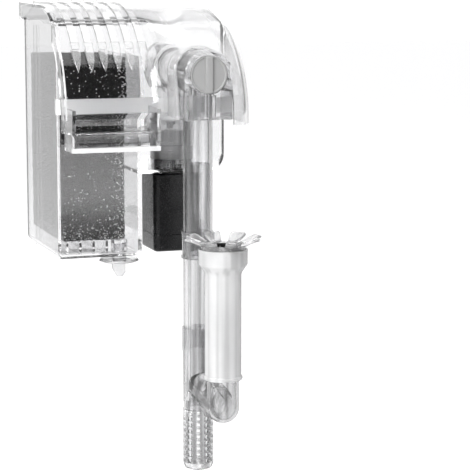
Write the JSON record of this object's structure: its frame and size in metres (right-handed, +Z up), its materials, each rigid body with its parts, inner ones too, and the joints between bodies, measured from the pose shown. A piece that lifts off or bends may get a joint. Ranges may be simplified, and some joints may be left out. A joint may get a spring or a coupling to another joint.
{
  "type": "hang-on-back aquarium filter",
  "caption": "Clear hang-on-back aquarium power filter with ribbed lid, foam block, valve knob, telescopic intake tube and surface skimmer.",
  "frame": {"origin": "underside of the spout floor, in the middle of the slot for the tank's glass and of the case's width", "axes": "+Z up, -Y into the tank, +X to the right as seen from the tank"},
  "size_m": [0.1244, 0.1971, 0.3172],
  "materials": {
    "clear_case": "clear polished moulding",
    "clear_lid": "clear polished moulding, ribbed",
    "clear_tube": "clear extruded tube",
    "clear_pump": "clear polished moulding",
    "clear_crown": "clear moulding",
    "clear_foot": "clear moulding",
    "frosted_sleeve": "frosted, milky",
    "black_foam": "open-cell foam",
    "black_float": "closed-cell foam",
    "black_motor": "satin moulded",
    "grey_collar": "smoke grey, satin",
    "knob_grey": "translucent light grey, satin",
    "valve_black": "satin",
    "black_rubber": "matte",
    "core_steel": "laminated",
    "coil_copper": "varnished winding",
    "shaft_ceramic": "polished",
    "magnet_black": "sintered ferrite",
    "impeller_white": "moulded"
  },
  "bodies": {
    "case": {"filter_case": "clear_case", "foam_block": "black_foam", "intake_knuckle": "clear_tube", "barrel_seal": "black_rubber", "upper_tube": "clear_tube", "tube_collar": "clear_tube", "pump_head": "clear_pump", "motor_housing": "black_motor", "motor_base": "black_motor", "stator_core": "core_steel", "stator_coil": "coil_copper", "motor_collar": "grey_collar", "motor_gasket": "black_rubber", "cable_gland": "black_motor", "impeller_shaft": "shaft_ceramic", "shaft_bushes": "black_rubber", "valve_seal": "black_rubber"},
    "lid": {"lid": "clear_lid"},
    "knob": {"flow_knob": "knob_grey", "valve_core": "valve_black"},
    "impeller": {"rotor_magnet": "magnet_black", "impeller_wheel": "impeller_white"},
    "lower_tube": {"lower_tube": "clear_tube", "strainer": "clear_tube", "skimmer_branch": "clear_tube"},
    "skimmer_sleeve": {"skimmer_sleeve": "frosted_sleeve"},
    "skimmer_float": {"skimmer_crown": "clear_crown", "crown_float": "black_float"},
    "level_foot": {"level_foot": "clear_foot"}
  },
  "joints": [
    {"name": "lid_lift", "type": "slide", "parent": "case", "child": "lid", "axis": [0, 0, 1], "range_m": [0, 0.09]},
    {"name": "knob_turn", "type": "hinge", "parent": "case", "child": "knob", "pos_m": [0.0293, -0.053, 0.0407], "axis": [0, -1, 0], "range_deg": [0, 180]},
    {"name": "impeller_spin", "type": "hinge", "parent": "case", "child": "impeller", "pos_m": [0.0293, 0.0355, -0.04], "axis": [0, 0, 1], "continuous": true},
    {"name": "tube_slide", "type": "slide", "parent": "case", "child": "lower_tube", "axis": [0, 0, -1], "range_m": [0, 0.045]},
    {"name": "sleeve_slide", "type": "slide", "parent": "lower_tube", "child": "skimmer_sleeve", "axis": [0, 0, 1], "range_m": [-0.002, 0.03]},
    {"name": "crown_float_travel", "type": "slide", "parent": "skimmer_sleeve", "child": "skimmer_float", "axis": [0, 0, 1], "range_m": [-0.001, 0.004]},
    {"name": "foot_turn", "type": "hinge", "parent": "case", "child": "level_foot", "pos_m": [-0.01375, 0.016, -0.085], "axis": [0, 0, 1], "range_deg": [-90, 90]}
  ]
}
